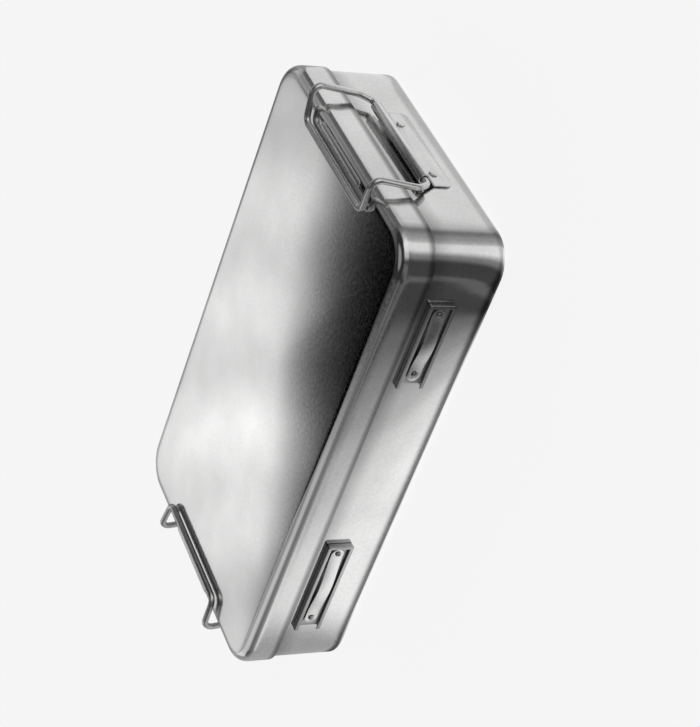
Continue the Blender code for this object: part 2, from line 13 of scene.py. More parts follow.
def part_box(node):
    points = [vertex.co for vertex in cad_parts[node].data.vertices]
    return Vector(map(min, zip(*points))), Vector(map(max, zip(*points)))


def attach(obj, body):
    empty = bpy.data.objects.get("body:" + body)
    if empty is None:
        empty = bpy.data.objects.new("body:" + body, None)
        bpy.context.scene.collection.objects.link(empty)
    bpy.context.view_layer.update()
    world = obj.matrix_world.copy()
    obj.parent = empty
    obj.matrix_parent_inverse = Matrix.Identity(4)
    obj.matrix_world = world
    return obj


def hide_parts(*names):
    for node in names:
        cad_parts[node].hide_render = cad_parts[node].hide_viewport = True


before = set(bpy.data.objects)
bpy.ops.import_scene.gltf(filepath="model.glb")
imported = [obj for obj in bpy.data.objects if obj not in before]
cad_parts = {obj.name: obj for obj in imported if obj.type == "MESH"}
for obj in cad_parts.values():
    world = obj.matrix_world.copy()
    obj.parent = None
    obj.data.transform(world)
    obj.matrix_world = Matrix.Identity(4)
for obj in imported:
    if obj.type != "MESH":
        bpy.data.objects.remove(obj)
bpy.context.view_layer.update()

FULL_TURN = 2 * math.pi
HALF_TURN = math.pi
QUARTER_TURN = math.pi / 2

# Low and high corners of the frame's nodes
BASE_LOW, BASE_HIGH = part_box("base_shell")
LID_LOW, LID_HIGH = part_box("lid_shell")
CATCH_LOW, CATCH_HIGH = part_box("catch_strip_right")
PLATE_LOW, PLATE_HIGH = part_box("bail_plate_right")
PAPER_LOW, PAPER_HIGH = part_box("filter_paper")
HOLDER_LOW, HOLDER_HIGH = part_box("filter_plate")
TAB_LOW, TAB_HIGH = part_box("filter_tab_right")
LABEL_FRAMES = {"right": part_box("label_frame_right"), "left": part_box("label_frame_left")}

# Sheets, fillets and corners of the two pans
SEAT_GAP = 0.0003
PAN_SHEET = 0.001
BASE_CORNER_RADIUS = 0.019
BASE_FILLET = 0.0035
LID_CORNER_RADIUS = 0.0208
LID_FILLET = 0.0075
LID_FILLET_POWER = 2.6
CORNER_STEPS = 20
FILLET_STEPS = 16
RIM_STEPS = 6

# How far beside a bend a further point keeps the flat's shading even
HOLD = 0.0012
RIM_HOLD = HOLD / 4

# The lid's crown: its rise, the share of the rise near the edge, and its rings as shares of the top
LID_CROWN = 0.0007
CROWN_EDGE = 0.12
CROWN_EDGE_POWER = 14
CROWN_SHARES = (
    0.985, 0.965, 0.94, 0.91, 0.87, 0.82, 0.74, 0.66, 0.58, 0.5, 0.42, 0.34, 0.26, 0.18, 0.1, 0.04,
)

# Perforations, in two fields to both sides of the middle
PERFORATION_DIAMETER = 0.0036
PERFORATION_PITCH = 0.015
PERFORATION_COLUMNS = 6
PERFORATION_ROWS = 8
FIELD_MIDDLE = 0.072
PERFORATION_SIDES = 20

# Filter holder and its tabs
HOLDER_CORNER_RADIUS = 0.015
HOLDER_SHEET = 0.0008
TAB_BEND_RADIUS = 0.0015
TAB_CORNER_RADIUS = 0.005
TAB_FOOT_LENGTH = 0.010

# Rounding of edges, and the angles that count as an edge or as flat
EDGE_ROUND = 0.00015
SOFTENED_SEGMENTS = 2
SHEET_CORNER_SEGMENTS = 10
ROUND_PROFILE = 0.5
SOFTENED_ANGLE = math.radians(50)
SHARP_ANGLE = math.radians(35)
FLAT_ANGLE = math.radians(0.05)

# How far cutters run past a surface
CUT_OVERRUN = 0.002

# Bails: the wire, the hinge axis, and one side of the wire's path from that axis with its bends' radii
WIRE_DIAMETER = 0.0038
WIRE_TRIM = 0.0001
WIRE_SIDES = 24
HINGE_X = 0.1546
HINGE_Z = 0.0307
BAIL_SIDE = (
    (0, 0.0245, 0),
    (0, 0.0367, 0),
    (0.0010, 0.0415, 0.0068),
    (0.0052, 0.0415, 0.0342),
    (-0.0162, 0.03925, 0.0330),
)
BAIL_BENDS = (0.003, 0.008, 0.005, 0.005)
WIRE_CHAMFER = 0.0004
ARC_STEP = math.radians(7)

# Bail plates and their rivets; a head is its diameter and height
PLATE_SHEET = 0.0008
PLATE_CORNER_RADIUS = 0.004
PLATE_FLARE_BEND = 0.002
FLARE_ANGLE = math.radians(45)
WRAP_ANGLE = math.radians(288)
BARREL_BORE_RADIUS = WIRE_DIAMETER / 2 + SEAT_GAP
PLATE_RIVET_Y = 0.022
PLATE_RIVET_Z = 0.0195
PLATE_RIVET_HEAD = (0.0046, 0.0007)
PLATE_RIVET_SHANK = 0.003
PLATE_HOLE = PLATE_RIVET_SHANK + 2 * SEAT_GAP

# Catch strips: a half-round bead with round ends, capped just before its sides meet at the top
CATCH_STEPS = 12
CATCH_TURN = QUARTER_TURN * 0.96
CATCH_END_TRIM = EDGE_ROUND / 20

# Label holders and their rivets
LABEL_SHEET = 0.0008
LABEL_DEPTH = 0.0028
LABEL_LIP = 0.0020
LABEL_CORNER_RADIUS = 0.0016
LABEL_CORNER_SEGMENTS = 8
LABEL_EDGE_ROUND = 0.0004
LABEL_EDGE_SEGMENTS = 5
LABEL_BACK_TRIM = 0.0022
LABEL_OPEN_RIVET_INSET = 0.009
LABEL_CLOSED_RIVET_INSET = 0.0062
LABEL_RIVET_HEAD = (0.0032, 0.0008)
LABEL_RIVET_SHANK = 0.0018
LABEL_RIVET_RECESS = 0.0005
LABEL_HOLE = LABEL_RIVET_SHANK + 2 * SEAT_GAP

# Label springs
SPRING_SHEET = 0.0005
SPRING_HALF = 0.0037
SPRING_BOW = 0.0018
SPRING_OPEN_OVERHANG = 0.0045
SPRING_CLOSED_OVERHANG = 0.0030
SPRING_FLAT_REACH = 0.0026
SPRING_STEPS = 40
SPRING_TIP_ANGLES = [math.radians(angle) for angle in range(10, 91, 10)]

# Rivets; a hollow head is given as shares of its radius and height, from its floor's edge outwards
RIVET_SIDES = 32
RIVET_HEAD_STEPS = 10
RIVET_TAIL_HEIGHT = 0.0008
RIVET_TAIL_ROUND = EDGE_ROUND * 2
HOLLOW_FLOOR = 0.34
HOLLOW_HEAD = ((0.42, 0.86), (0.5, 1), (0.66, 0.97), (0.84, 0.75), (0.96, 0.4))
HOLLOW_BRIM = 0.0001

# Steel: each noise's scale and detail, and how far it changes tone and roughness
MOTTLE = (520, 3)
CLOUD = (26, 2)
GRAIN = (900, 2)
NOISE_SPREAD = (0.3, 0.7)
MOTTLE_TONE = 0.04
CLOUD_TONES = (-0.07, 0.05)
MOTTLE_ROUGHNESS = 0.03
GRAIN_ROUGHNESS = 0.02
MOTTLE_HEIGHT = 0.6
STEEL_BUMP = 0.35
STEEL_TINT = (1.0, 1.0, 0.995)

# Edges rubbed brighter and smoother, from the pointiness where that starts
EDGE_POINTINESS = (0.52, 0.60)
EDGE_TONE = 0.05
EDGE_SMOOTHING = 0.04

# Painted shade in bands along the lid's rim, darkening the steel's colour: height where it ends, height where
# darkest, and level there
BASE_RIM_SHADE = (0.0310, 0.0420, 0.60)
LID_RIM_SHADE = (0.0462, 0.0437, 0.40)

# Each steel's tone, roughness, depth of grain, and painted rim shade if it has one
SATIN = (0.76, 0.14, 0.000004)
STEELS = {
    "satin": SATIN,
    "base": (*SATIN, BASE_RIM_SHADE),
    "lid": (*SATIN, LID_RIM_SHADE),
    "wire": (0.76, 0.30, 0.000003),
    "plate": (0.82, 0.30, 0.000004),
    # Painted shade: the holders' steel is toned darker for the shade inside them and under their lips
    "holder": (0.48, 0.38, 0.000004),
}

# Filter paper
FIBRE = (2200, 4, (1, 0.25, 1))
PAPER_CLOUD = (160, 3)
PAPER_TONES = (0.78, 0.88)
PAPER_CLOUD_TONE = 0.03
PAPER_ROUGHNESS = (0.82, 0.95)
PAPER_BUMP = 0.5
PAPER_GRAIN_DEPTH = 0.00006
PAPER_TINT = (1.0, 0.985, 0.93)

# Camera: where it stands, how it is turned, and its framing
CAMERA_PLACE = (0.6492, -0.7471, 0.5304)
CAMERA_AZIMUTH = math.radians(40.90)
CAMERA_ELEVATION = math.radians(28.12)
CAMERA_ROLL = math.radians(-0.29)
CAMERA_LENS = 99.13
CAMERA_SENSOR = 36
CAMERA_SHIFT = (-0.0106, 0.0069)
CAMERA_REACH = 20

# Floor: its half size and height, its brightness to the camera and in mirrors, and its matte colour
FLOOR_HALF = 4.0
FLOOR_HEIGHT = -0.0006
FLOOR_GLOW = 0.88
MIRRORED_FLOOR = 1.12
FLOOR_MATTE = (0.16, 0.16, 0.16)

# Shades of the mirrored floor around two places: levels by compass angle in degrees, from +X to +Y
FLOOR_SHADES = (
    ((0.124, -0.0703), (
        (-180, 1.0), (-169, 0.97), (-162, 0.78), (-154, 0.48), (-145, 0.28), (-136, 0.16), (-127, 0.055),
        (-116, 0.06), (-109, 0.13), (-101, 0.13), (-93, 0.06), (-60, 0.055), (-45, 0.22), (-26, 0.90),
        (-16, 1.0))),
    ((0.1411, -0.0747), (
        (-45, 1.0), (-16, 0.82), (-6, 0.45), (7, 0.32), (29, 0.18), (45, 0.45), (55, 0.70), (78, 0.76),
        (120, 0.80), (150, 1.0))),
)

# How those shades bend further to the front: from this Y, by this slope and up to this X
FLOOR_FAR_Y = -0.18
FLOOR_FAR_SLOPE = 0.78
FLOOR_FAR_X = 0.10

# A shade over the mirrored floor's left part, by X less Y
LEFT_SHADE = (-0.052, -0.014)
LEFT_SHADE_LEVEL = 0.40

# Mirrored floor by distance from the base's outline: dimmed close to it, less so and more narrowly at
# the right end, and not at all right at the outline
CONTACT_REACH = (0.005, 0.011)
CONTACT_LEVELS = (0.22, 0.70)
CONTACT_NARROWING = 1.3
RIGHT_END_INSIDE = 0.025
RIGHT_END_OUTSIDE = 0.002
AT_OUTLINE = (0.0003, 0.0035)

# A dark screen that mirrors show behind and above the lid, in its own plane's axes: its sides, its soft
# edge, its slanting end, and faint folds of light in its clear part
SCREEN_DISTANCE = 1.25
SCREEN_SIDES = (-0.20, 0.20, -0.20, 0.075)
SCREEN_EDGE = (-0.050, 0.026)
SCREEN_BENDS = ((1, 0.0, 0.19), (-1, 0.060, -0.205))
SCREEN_FADE = 5.5
SCREEN_END = (-0.162, -0.134)
SCREEN_END_BENDS = ((1, -0.400, 0.42), (1, -0.100, 3.4))
SCREEN_FOLD = 0.072
SCREEN_FOLD_START = -0.036
SCREEN_FOLD_DEPTH = 0.16
SCREEN_RIGHT_END = 0.02
SCREEN_RIGHT_LEVEL = 0.87
SCREEN_LEFT = (-0.125, -0.070)
SCREEN_LEFT_LEVEL = 0.76

# Studio walls: levels by compass angle, and where along a direction's axes they darken
WALL_STOPS = (
    (-180, 0.80), (-140, 0.60), (-131, 0.43), (-126, 0.20), (-121, 0.06), (-108, 0.15), (-78, 0.15),
    (-64, 0.06), (-48, 0.60), (-28, 0.90), (-15, 1.0), (5, 0.50), (25, 0.20), (45, 0.12), (54, 0.14),
    (64, 0.45), (90, 0.60), (101, 0.42), (108, 0.25), (119, 0.50), (126, 1.26), (145, 1.26), (160, 0.85),
)
IN_FRONT = (0, 0.2)
RAISED_HEIGHT = (0.10, 0.36)
RAISED_LEFT = (0, 0.3)
RAISED_LEVEL = 0.45
FAR_LEFT = (0.672, 0.695)
FAR_LEFT_LEVEL = 0.4
SUNK_HEIGHT = (0.335, 0.375)
SUNK_LEFT = (-0.35, 0)
SUNK_LEVEL = 0.4

# Studio ceiling: where it starts, its dark level, a soft box to the left, one behind, and the zenith
CEILING_HEIGHT = (0.46, 0.66)
CEILING_FRONT_LIFT = 0.07
CEILING_LEVEL = 0.03
BOX_LEFT = (0.545, 0.65)
BOX_FRONT = (0.38, 0.56)
BOX_BACK = (-0.66, -0.16)
BOX_LEVEL = 0.64
BEHIND_STEPS = ((0.40, 0.62, 0.2), (0.70, 0.765, 0.8))
BEHIND_LEFT = (-0.50, -0.25)
BEHIND_MIDDLE = (-0.10, 0.30)
BEHIND_LEVELS = (0.40, 0.24)
ZENITH_HEIGHT = (0.93, 0.97)
ZENITH_LEVEL = 0.3

# The studio as the camera itself sees it
BACKDROP_LEVEL = 0.913


# Materials


def add_node(tree, kind, settings=None, **values):
    """A shader node with its properties and its sockets' values set."""
    node = tree.nodes.new(kind)
    for name, value in (settings or {}).items():
        setattr(node, name, value)
    for name, value in values.items():
        node.inputs[name.replace("_", " ")].default_value = value
    return node


def new_material(name):
    """A new material and its shader tree."""
    material = bpy.data.materials.new(name)
    material.use_nodes = True
    return material, material.node_tree


def place_axes(tree, kind):
    """X, Y and Z of one kind of texture coordinate."""
    place = tree.nodes.new("ShaderNodeTexCoord")
    split = tree.nodes.new("ShaderNodeSeparateXYZ")
    tree.links.new(place.outputs[kind], split.inputs["Vector"])
    return split.outputs


def stretched_noise(tree, scale, detail, stretch=(1, 1, 1)):
    """Noise in the piece's own coordinates, stretched by a factor along each axis."""
    place = add_node(tree, "ShaderNodeTexCoord")
    turn = add_node(tree, "ShaderNodeMapping", Scale=stretch)
    noise = add_node(tree, "ShaderNodeTexNoise", Scale=scale, Detail=detail)
    tree.links.new(place.outputs["Object"], turn.inputs["Vector"])
    tree.links.new(turn.outputs["Vector"], noise.inputs["Vector"])
    return noise.outputs["Fac"]


def combine(tree, operation, *values):
    """A Math node on one or two values, any of which may be a number."""
    node = tree.nodes.new("ShaderNodeMath")
    node.operation = operation
    for socket, value in zip(node.inputs, values):
        if isinstance(value, (int, float)):
            socket.default_value = value
        else:
            tree.links.new(value, socket)
    return node.outputs["Value"]


def product(tree, first, *others):
    """All the values multiplied, in the given order."""
    for other in others:
        first = combine(tree, "MULTIPLY", first, other)
    return first


def opposite(tree, share):
    """What is left of 1 after a share."""
    return combine(tree, "SUBTRACT", 1, share)


def ramp(tree, value, low, high, first, last, interpolation="LINEAR"):
    """Map a value from one range to another, and hold it there beyond the ends."""
    spread = add_node(tree, "ShaderNodeMapRange", {"interpolation_type": interpolation},
                      From_Min=low, From_Max=high, To_Min=first, To_Max=last)
    tree.links.new(value, spread.inputs["Value"])
    return spread.outputs["Result"]


def smooth_step(tree, value, low, high):
    """A soft step from 0 to 1 as a value goes from low to high."""
    return ramp(tree, value, low, high, 0, 1, "SMOOTHSTEP")


def toned(tree, value, share, level):
    """A value that is multiplied by a level where a share is 1, and left alone where it is 0."""
    return product(tree, value, ramp(tree, share, 0, 1, 1, level))


def blend(tree, first, second, share):
    """The first value, giving way to the second as a share goes from 0 to 1."""
    return combine(tree, "ADD", product(tree, first, opposite(tree, share)), product(tree, second, share))


def from_noise(tree, noise, low, high):
    """A noise's values mapped to a range."""
    return ramp(tree, noise, *NOISE_SPREAD, low, high)


def grey(tree, value, tint=(1, 1, 1)):
    """A colour of one tint at a varying level."""
    node = add_node(tree, "ShaderNodeMix", {"data_type": "RGBA"}, A=(0, 0, 0, 1), B=(*tint, 1))
    tree.links.new(value, node.inputs["Factor"])
    return node.outputs["Result"]


def add_bump(tree, shader, height, strength, depth):
    """Let a height roughen a shader's surface."""
    bump = add_node(tree, "ShaderNodeBump", Strength=strength, Distance=depth)
    tree.links.new(height, bump.inputs["Height"])
    tree.links.new(bump.outputs["Normal"], shader.inputs["Normal"])


def steel_material(name, tone, roughness, grain_depth, rim_shade=None):
    """Satin steel: mottled and grained, with edges rubbed brighter and painted shade along the rim if it is
    given.
    """
    material, tree = new_material(name)
    shader = tree.nodes["Principled BSDF"]
    mottle = stretched_noise(tree, *MOTTLE)
    cloud = stretched_noise(tree, *CLOUD)
    grain = stretched_noise(tree, *GRAIN)
    shape = tree.nodes.new("ShaderNodeNewGeometry")
    edge = ramp(tree, shape.outputs["Pointiness"], *EDGE_POINTINESS, 0, 1)
    dark_cloud, light_cloud = CLOUD_TONES
    level = combine(tree, "ADD", from_noise(tree, mottle, -MOTTLE_TONE, MOTTLE_TONE),
                    from_noise(tree, cloud, tone + dark_cloud, tone + light_cloud))
    level = combine(tree, "ADD", level, product(tree, edge, EDGE_TONE))
    # Painted shade: the colour darkens towards the lid's rim
    if rim_shade:
        unshaded_z, darkest_z, rim_shade_level = rim_shade
        z = place_axes(tree, "Object")["Z"]
        level = product(tree, level, ramp(tree, z, darkest_z, unshaded_z, rim_shade_level, 1))
    tree.links.new(grey(tree, level, STEEL_TINT), shader.inputs["Base Color"])
    rough = combine(tree, "ADD",
                    from_noise(tree, mottle, roughness - MOTTLE_ROUGHNESS, roughness + MOTTLE_ROUGHNESS),
                    from_noise(tree, grain, -GRAIN_ROUGHNESS, GRAIN_ROUGHNESS))
    rough = combine(tree, "SUBTRACT", rough, product(tree, edge, EDGE_SMOOTHING))
    tree.links.new(rough, shader.inputs["Roughness"])
    height = combine(tree, "ADD", grain, product(tree, mottle, MOTTLE_HEIGHT))
    add_bump(tree, shader, height, STEEL_BUMP, grain_depth)
    shader.inputs["Metallic"].default_value = 1.0
    return material


def paper_material(name):
    """Soft filter paper with fibres."""
    material, tree = new_material(name)
    shader = tree.nodes["Principled BSDF"]
    fibre = stretched_noise(tree, *FIBRE)
    cloud = stretched_noise(tree, *PAPER_CLOUD)
    level = combine(tree, "ADD", from_noise(tree, fibre, *PAPER_TONES),
                    from_noise(tree, cloud, -PAPER_CLOUD_TONE, PAPER_CLOUD_TONE))
    tree.links.new(grey(tree, level, PAPER_TINT), shader.inputs["Base Color"])
    tree.links.new(from_noise(tree, fibre, *PAPER_ROUGHNESS), shader.inputs["Roughness"])
    add_bump(tree, shader, fibre, PAPER_BUMP, PAPER_GRAIN_DEPTH)
    return material


# Mesh helpers


def linked_object(name, form):
    """A mesh object in the scene, made from a form, which is used up."""
    mesh = bpy.data.meshes.new(name)
    form.to_mesh(mesh)
    form.free()
    piece = bpy.data.objects.new(name, mesh)
    bpy.context.scene.collection.objects.link(piece)
    return piece


def discard(piece):
    """Remove an object and its mesh."""
    mesh = piece.data
    bpy.data.objects.remove(piece)
    bpy.data.meshes.remove(mesh)


def moved(form, matrix):
    """The form after a transform."""
    bmesh.ops.transform(form, matrix=matrix, verts=form.verts)
    return form


def turned_copy(form):
    """A copy of a form turned half round about the frame's Z."""
    return moved(form.copy(), Matrix.Rotation(HALF_TURN, 4, "Z"))


def finish_mesh(name, form, body, slot, material, *replaced):
    """Make a form a piece: smooth mesh with sharp edges, riding on a body in place of CAD nodes."""
    bmesh.ops.recalc_face_normals(form, faces=form.faces)
    piece = linked_object(name, form)
    piece.data.shade_smooth()
    piece.data.set_sharp_from_angle(angle=SHARP_ANGLE)
    piece.data.materials.append(material)
    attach(piece, body)
    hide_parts(*replaced)


def finish_pair(name, form, bodies, slot, material, node):
    """Make a form the right-hand piece, and its copy turned half round the left-hand one."""
    forms = (form, turned_copy(form))
    for side, side_form, body in zip(("right", "left"), forms, bodies):
        finish_mesh(name + "_" + side, side_form, body, slot, material, node + "_" + side)


def modified(form, steps):
    """Apply modifiers, given as type and settings, to a form and return the new form."""
    bmesh.ops.recalc_face_normals(form, faces=form.faces)
    piece = linked_object("work", form)
    for kind, settings in steps:
        step = piece.modifiers.new(kind, kind)
        for name, value in settings.items():
            setattr(step, name, value)
    bpy.context.view_layer.update()
    evaluated = piece.evaluated_get(bpy.context.evaluated_depsgraph_get())
    result = bmesh.new()
    result.from_mesh(evaluated.to_mesh())
    evaluated.to_mesh_clear()
    discard(piece)
    return result


def without(form, cutters):
    """Take the volumes of other forms out of a form."""
    pieces = []
    for cutter in cutters:
        bmesh.ops.recalc_face_normals(cutter, faces=cutter.faces)
        pieces.append(linked_object("cutter", cutter))
    steps = [("BOOLEAN", {"operation": "DIFFERENCE", "solver": "EXACT", "object": p}) for p in pieces]
    result = modified(form, steps)
    for piece in pieces:
        discard(piece)
    bmesh.ops.dissolve_limit(result, angle_limit=FLAT_ANGLE, verts=result.verts, edges=result.edges)
    return result


def in_order(form):
    """The form with its points and faces in an order that follows from its shape alone, the same each run."""
    ordered = sorted(form.verts, key=lambda vert: tuple(vert.co))
    number = {vert: index for index, vert in enumerate(ordered)}
    rings = []
    for face in form.faces:
        ring = [number[vert] for vert in face.verts]
        first = ring.index(min(ring))
        rings.append(ring[first:] + ring[:first])
    result = bmesh.new()
    points = [result.verts.new(vert.co) for vert in ordered]
    for ring in sorted(rings):
        result.faces.new([points[index] for index in ring])
    form.free()
    return result


def thickened(form, thickness):
    """Give an open sheet its thickness to both sides."""
    return modified(form, [("SOLIDIFY", {"thickness": thickness, "offset": 0, "use_even_offset": True})])


def softened(form, radius):
    """Round all sharp edges of a form a little."""
    return modified(form, [("BEVEL", {
        "width": radius, "segments": SOFTENED_SEGMENTS, "limit_method": "ANGLE",
        "angle_limit": SOFTENED_ANGLE, "use_clamp_overlap": True,
    })])


def ring_points(length, width, radius, z):
    """A level rounded rectangle with a holding point beside each end of each corner's arc."""
    points = []
    hold = min(HOLD, (length / 2 - radius) / 2, (width / 2 - radius) / 2)
    for quarter in range(4):
        start = quarter * QUARTER_TURN
        sign_x = 1 if quarter in (0, 3) else -1
        sign_y = 1 if quarter in (0, 1) else -1
        centre = Vector((sign_x * (length / 2 - radius), sign_y * (width / 2 - radius), z))
        along = Vector((-math.sin(start), math.cos(start), 0))
        first = centre + radius * Vector((math.cos(start), math.sin(start), 0))
        points.append(first - along * hold)
        for step in range(CORNER_STEPS + 1):
            angle = start + QUARTER_TURN * step / CORNER_STEPS
            points.append(centre + radius * Vector((math.cos(angle), math.sin(angle), 0)))
        end = start + QUARTER_TURN
        last = points[-1]
        points.append(last + Vector((-math.sin(end), math.cos(end), 0)) * hold)
    return points


def loft(rings):
    """A form with quads between rings of equal counts, capped at both ends."""
    form = bmesh.new()
    loops = [[form.verts.new(point) for point in ring] for ring in rings]
    form.faces.new(loops[0])
    form.faces.new(loops[-1])
    for below, above in zip(loops, loops[1:]):
        for index in range(len(below)):
            after = (index + 1) % len(below)
            form.faces.new((below[index], below[after], above[after], above[index]))
    return form


def arc(steps, start=0.0, turn=QUARTER_TURN):
    """Angles of an arc."""
    return [start + turn * step / steps for step in range(steps + 1)]


def fillet_section(reach, power, turn):
    """Inset and height along a fillet: a quarter circle for power 2, and softer at its ends above that."""
    return [(reach * (1 - abs(math.sin(a)) ** (2 / power)), reach * (1 - abs(math.cos(a)) ** (2 / power)))
            for a in turn]


def pan_section(height, fillet, sheet, power=2):
    """Inset and height of a pan's rings, from its panel's outside over the rim to its inside."""
    points = [(fillet + HOLD, 0)]
    points += fillet_section(fillet, power, arc(FILLET_STEPS))
    points += [(0, fillet + HOLD), (0, height - sheet / 2 - RIM_HOLD)]
    for a in arc(RIM_STEPS, 0, HALF_TURN):
        points.append((sheet / 2 * (1 - math.cos(a)), height - sheet / 2 * (1 - math.sin(a))))
    points += [(sheet, height - sheet / 2 - RIM_HOLD), (sheet, fillet + HOLD)]
    inside = fillet_section(fillet - sheet, power, arc(FILLET_STEPS, QUARTER_TURN, -QUARTER_TURN))
    points += [(inset + sheet, z + sheet) for inset, z in inside]
    points.append((fillet + HOLD, sheet))
    return points


def pan_rings(length, width, height, radius, fillet, sheet):
    """Rings of a pan that stands on its panel at z = 0."""
    return [
        ring_points(length - 2 * inset, width - 2 * inset, radius - inset, z)
        for inset, z in pan_section(height, fillet, sheet)
    ]


def box_form(low, high):
    """A box between two corners."""
    form = bmesh.new()
    bmesh.ops.create_cube(form, size=1)
    bmesh.ops.scale(form, verts=form.verts, vec=Vector(high) - Vector(low))
    bmesh.ops.translate(form, verts=form.verts, vec=(Vector(high) + Vector(low)) / 2)
    return form


def drill_form(centres, axis, diameter, depth=2 * CUT_OVERRUN, sides=RIVET_SIDES):
    """Round prisms through all the given centres."""
    form = bmesh.new()
    turn = Vector((0, 0, 1)).rotation_difference(Vector(axis)).to_matrix().to_4x4()
    for centre in centres:
        bmesh.ops.create_cone(
            form, cap_ends=True, segments=sides, radius1=diameter / 2, radius2=diameter / 2,
            depth=depth, matrix=Matrix.Translation(centre) @ turn,
        )
    return form


def perforation_form(z):
    """Prisms for all the perforations through a sheet near a height."""
    centres = []
    for side in (-1, 1):
        for column in range(PERFORATION_COLUMNS):
            for row in range(PERFORATION_ROWS):
                x = side * FIELD_MIDDLE + (column - (PERFORATION_COLUMNS - 1) / 2) * PERFORATION_PITCH
                centres.append((x, (row - (PERFORATION_ROWS - 1) / 2) * PERFORATION_PITCH, z))
    return drill_form(centres, (0, 0, 1), PERFORATION_DIAMETER, sides=PERFORATION_SIDES)


def rounded_path(corners, radii):
    """Points along straight runs whose inner corners are arcs of the given radii."""
    corners = [Vector(corner) for corner in corners]
    points = [corners[0]]
    for before, corner, after, radius in zip(corners, corners[1:], corners[2:], radii):
        back = (before - corner).normalized()
        ahead = (after - corner).normalized()
        opening = back.angle(ahead)
        centre = corner + (back + ahead).normalized() * (radius / math.sin(opening / 2))
        start = corner + back * (radius / math.tan(opening / 2)) - centre
        turn = HALF_TURN - opening
        steps = math.ceil(turn / ARC_STEP)
        for step in range(steps + 1):
            points.append(centre + Matrix.Rotation(turn * step / steps, 3, ahead.cross(back)) @ start)
    points.append(corners[-1])
    return points


def tube(points, radius, sides, chamfer):
    """A round wire along a path, its ends chamfered."""
    points = [Vector(point) for point in points]
    heading = (points[1] - points[0]).normalized()
    across = heading.orthogonal().normalized()
    rings = []
    for index, point in enumerate(points):
        before = points[max(index - 1, 0)]
        after = points[min(index + 1, len(points) - 1)]
        new_heading = (after - before).normalized()
        across = heading.rotation_difference(new_heading) @ across
        heading = new_heading
        across = (across - heading * across.dot(heading)).normalized()
        up = heading.cross(across)
        ring = []
        for side in range(sides):
            angle = FULL_TURN * side / sides
            ring.append(math.cos(angle) * across + math.sin(angle) * up)
        if index in (0, len(points) - 1):
            inward = 1 if index == 0 else -1
            caps = [(0, radius - chamfer), (chamfer * inward, radius)]
            for shift, reach in caps if index == 0 else reversed(caps):
                rings.append([point + heading * shift + spoke * reach for spoke in ring])
        else:
            rings.append([point + spoke * radius for spoke in ring])
    return loft(rings)


def lathe(profile, sides):
    """Turn a profile of radius and height, from pole to pole, about Z."""
    rings = []
    for radius, z in profile:
        angles = [FULL_TURN * side / sides for side in range(sides)]
        rings.append([(radius * math.cos(a), radius * math.sin(a), z) for a in angles])
    form = bmesh.new()
    poles = [form.verts.new((0, 0, profile[0][1])), form.verts.new((0, 0, profile[-1][1]))]
    loops = [[form.verts.new(point) for point in ring] for ring in rings[1:-1]]
    for index in range(sides):
        after = (index + 1) % sides
        form.faces.new((poles[0], loops[0][index], loops[0][after]))
        form.faces.new((poles[1], loops[-1][after], loops[-1][index]))
        for below, above in zip(loops, loops[1:]):
            form.faces.new((below[index], above[index], above[after], below[after]))
    return form


def ribbon(first, second):
    """An open sheet between two rows of points."""
    form = bmesh.new()
    rows = [[form.verts.new(point) for point in row] for row in (first, second)]
    for index in range(len(first) - 1):
        form.faces.new((rows[0][index], rows[0][index + 1], rows[1][index + 1], rows[1][index]))
    return form


def sheet_form(profile, width):
    """An open sheet: a profile in XZ drawn out along Y to both sides of the middle."""
    return ribbon(*([(p.x, side * width / 2, p.z) for p in profile] for side in (-1, 1)))


def round_sheet_corners(form, z, radius):
    """Round the outline's corners at one height of an open sheet."""
    ends = [v for v in form.verts if abs(v.co.z - z) < EDGE_ROUND]
    bmesh.ops.bevel(form, geom=ends, offset=radius, segments=SHEET_CORNER_SEGMENTS, profile=ROUND_PROFILE,
                    affect="VERTICES")


def rivet_form(head, shank, stack, recess=0.0):
    """A rivet whose head stands on z = 0 and whose shank passes the stack below; it may be hollow."""
    diameter, height = head
    radius = diameter / 2
    if recess:
        profile = [(0, height - recess), (radius * HOLLOW_FLOOR, height - recess)]
        profile += [(radius * out, height * up) for out, up in HOLLOW_HEAD]
        profile.append((radius, HOLLOW_BRIM))
    else:
        profile = [(0, height)]
        profile += [(radius * math.sin(a), height * math.cos(a)) for a in arc(RIVET_HEAD_STEPS)[1:-1]]
    tail = -stack - RIVET_TAIL_HEIGHT
    profile += [(radius, 0), (shank / 2, 0), (shank / 2, -stack), (radius, -stack)]
    profile += [(radius, tail + RIVET_TAIL_ROUND), (radius - RIVET_TAIL_ROUND, tail), (0, tail)]
    return lathe(profile, RIVET_SIDES)


# Pieces


def build_base(steel):
    """The base pan with its perforated bottom and the holes for its rivets."""
    size = BASE_HIGH - BASE_LOW
    rings = pan_rings(size.x, size.y, size.z, BASE_CORNER_RADIUS, BASE_FILLET, PAN_SHEET)
    end_holes = [
        (end * size.x / 2, side * PLATE_RIVET_Y, PLATE_RIVET_Z)
        for end in (-1, 1)
        for side in (-1, 1)
    ]
    label_holes = [
        (x, -size.y / 2, (low.z + high.z) / 2)
        for low, high in LABEL_FRAMES.values()
        for x in label_rivet_places(low, high)
    ]
    form = without(loft(rings), [
        perforation_form(PAN_SHEET / 2),
        drill_form(end_holes, (1, 0, 0), PLATE_HOLE),
        drill_form(label_holes, (0, 1, 0), LABEL_HOLE),
    ])
    finish_mesh("base_pan", form, "case", "satin_steel", steel, "base_shell")


